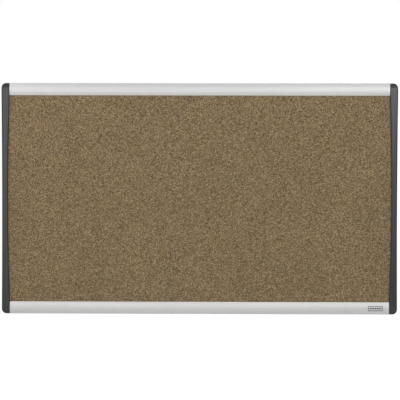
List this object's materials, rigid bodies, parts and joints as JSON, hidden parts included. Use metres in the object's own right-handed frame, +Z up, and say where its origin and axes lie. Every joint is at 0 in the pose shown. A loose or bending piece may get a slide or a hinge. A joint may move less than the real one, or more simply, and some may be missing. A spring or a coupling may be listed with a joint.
{
  "type": "cork bulletin board",
  "caption": "Wall-hung cork bulletin board with arched aluminium rails, bowed graphite end caps and keyhole hangers that slide along the top rail.",
  "frame": {"origin": "midway between the entry holes of the two keyhole hangers, in the wall plane", "axes": "+X along the board's width to the right, +Y into the wall (the front faces -Y), +Z up"},
  "size_m": [0.6094, 0.0184, 0.3556],
  "materials": {
    "cork": "matte",
    "fibreboard": "matte",
    "kraft_backing": "matte",
    "anodised_aluminium": "satin",
    "graphite_plastic": "satin",
    "zinc_steel": "satin",
    "rubber": "matte",
    "badge_plate": "satin"
  },
  "bodies": {
    "frame": {"cork_sheet": "cork", "fibreboard_core": "fibreboard", "backing_sheet": "kraft_backing", "top_rail": "anodised_aluminium", "bottom_rail": "anodised_aluminium", "left_end_cap": "graphite_plastic", "right_end_cap": "graphite_plastic", "left_cap_screws": "zinc_steel", "right_cap_screws": "zinc_steel", "bumper_top_left": "rubber", "bumper_bottom_left": "rubber", "bumper_bottom_right": "rubber", "bumper_top_right": "rubber", "badge": "badge_plate"},
    "left_hanger": {"left_wall_hanger": "zinc_steel"},
    "right_hanger": {"right_wall_hanger": "zinc_steel"}
  },
  "joints": [
    {"name": "left_hanger_slide", "type": "slide", "parent": "frame", "child": "left_hanger", "axis": [1, 0, 0], "range_m": [-0.073, 0.18]},
    {"name": "right_hanger_slide", "type": "slide", "parent": "frame", "child": "right_hanger", "axis": [1, 0, 0], "range_m": [-0.18, 0.073]}
  ]
}
